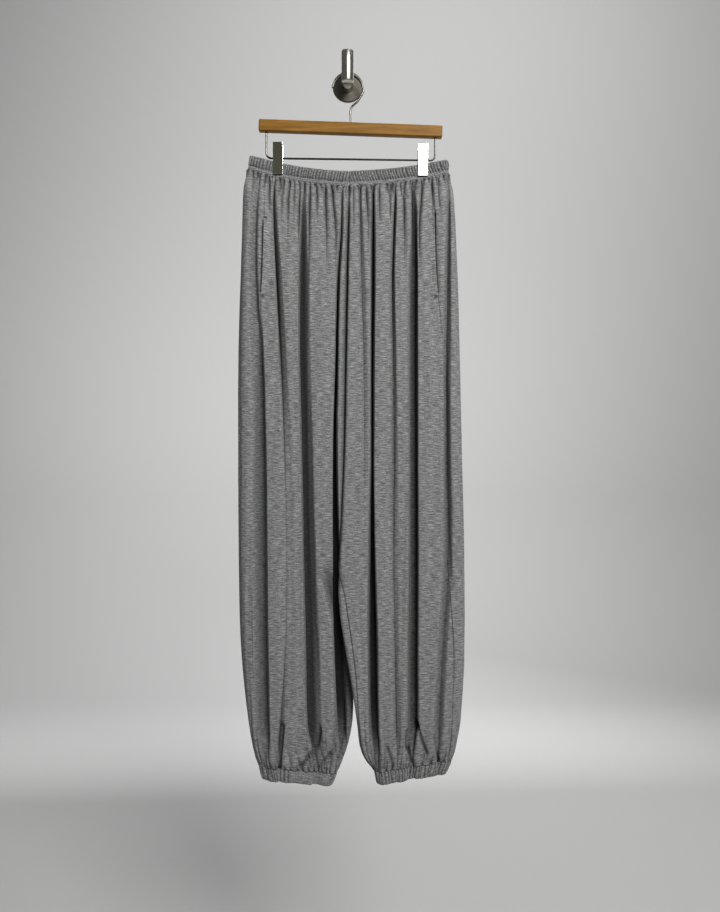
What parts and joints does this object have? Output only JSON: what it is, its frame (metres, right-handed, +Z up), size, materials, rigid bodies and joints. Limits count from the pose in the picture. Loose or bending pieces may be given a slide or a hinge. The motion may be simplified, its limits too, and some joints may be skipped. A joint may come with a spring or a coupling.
{
  "type": "harem pants on a trouser hanger and wall hook",
  "caption": "Grey jersey harem pants with a gathered elastic waist, side pockets and cuffs, clipped to a wooden trouser hanger on a round wall hook.",
  "frame": {"origin": "centre of the wall plate's back face, where the wall holds the part", "axes": "+Z up, +Y into the wall, +X to the right as seen from the front; the cloth hangs at negative y"},
  "size_m": [0.3664, 0.0544, 1.1785],
  "materials": {
    "jersey": "fine heather jersey with short sideways streaks",
    "elastic": "the same jersey, ruched over elastic",
    "steel": "satin stainless steel",
    "chrome": "bright plated steel",
    "oak": "clear satin varnish"
  },
  "bodies": {
    "root": {"wall_plate": "steel", "hook_neck": "steel", "hook_upright": "steel", "hanger_hook": "chrome", "hanger_bar": "oak", "hanger_rail": "chrome", "waistband": "elastic", "clip_left_front": "chrome", "clip_left_back": "chrome", "clip_left_spring": "chrome", "front_left": "jersey", "back_left": "jersey", "pocket_left_edge": "jersey", "cuff_left": "elastic", "clip_right_front": "chrome", "clip_right_back": "chrome", "clip_right_spring": "chrome", "front_right": "jersey", "back_right": "jersey", "pocket_right_edge": "jersey", "cuff_right": "elastic"}
  },
  "joints": []
}
